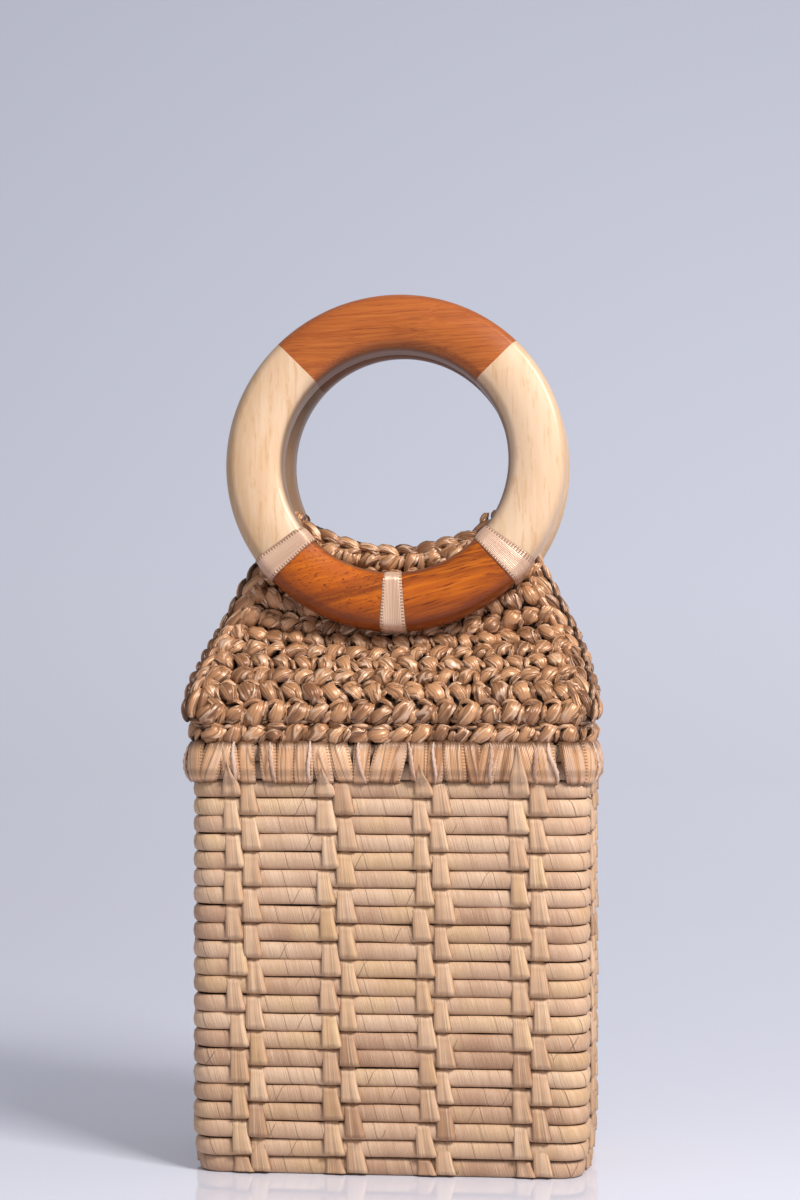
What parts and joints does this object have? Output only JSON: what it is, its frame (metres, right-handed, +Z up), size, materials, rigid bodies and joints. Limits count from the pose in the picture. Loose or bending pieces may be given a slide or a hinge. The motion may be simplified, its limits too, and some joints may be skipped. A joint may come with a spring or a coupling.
{
  "type": "basket box bag",
  "caption": "Upright box bag of coiled leaf-wrapped basketry with a ribbon-bound rim, two crocheted flaps that fold out, and segmented wooden ring handles tied to the flaps.",
  "frame": {"origin": "on the floor under the middle of the basket", "axes": "+Z up, +X to the right as seen from the front, front towards -Y"},
  "size_m": [0.156, 0.0932, 0.3387],
  "materials": {
    "straw": "dry wrapped palm leaf over a coiled core",
    "leaf": "flat palm leaf strips",
    "satin_ribbon": "satin ribbon, crocheted and wound",
    "tie_ribbon": "flat satin ribbon with picot edges",
    "dark_wood": "glossy varnish, reddish brown",
    "pale_wood": "glossy varnish, pale"
  },
  "bodies": {
    "basket": {"coil_basket": "straw", "leaf_stitches": "leaf", "rim_binding": "satin_ribbon", "crochet_collar": "satin_ribbon"},
    "front_cover": {"front_flap": "satin_ribbon", "front_ring_top": "dark_wood", "front_ring_bottom": "dark_wood", "front_ring_left": "pale_wood", "front_ring_right": "pale_wood", "front_tie_left": "tie_ribbon", "front_tie_middle": "tie_ribbon", "front_tie_right": "tie_ribbon"},
    "back_cover": {"back_flap": "satin_ribbon", "back_ring_top": "dark_wood", "back_ring_bottom": "dark_wood", "back_ring_left": "pale_wood", "back_ring_right": "pale_wood", "back_tie_left": "tie_ribbon", "back_tie_middle": "tie_ribbon", "back_tie_right": "tie_ribbon"}
  },
  "joints": [
    {"name": "front_fold", "type": "hinge", "parent": "basket", "child": "front_cover", "pos_m": [0, -0.0415, 0.1746], "axis": [1, 0, 0], "range_deg": [0, 100]},
    {"name": "back_fold", "type": "hinge", "parent": "basket", "child": "back_cover", "pos_m": [0, 0.0415, 0.1746], "axis": [-1, 0, 0], "range_deg": [0, 100]}
  ]
}
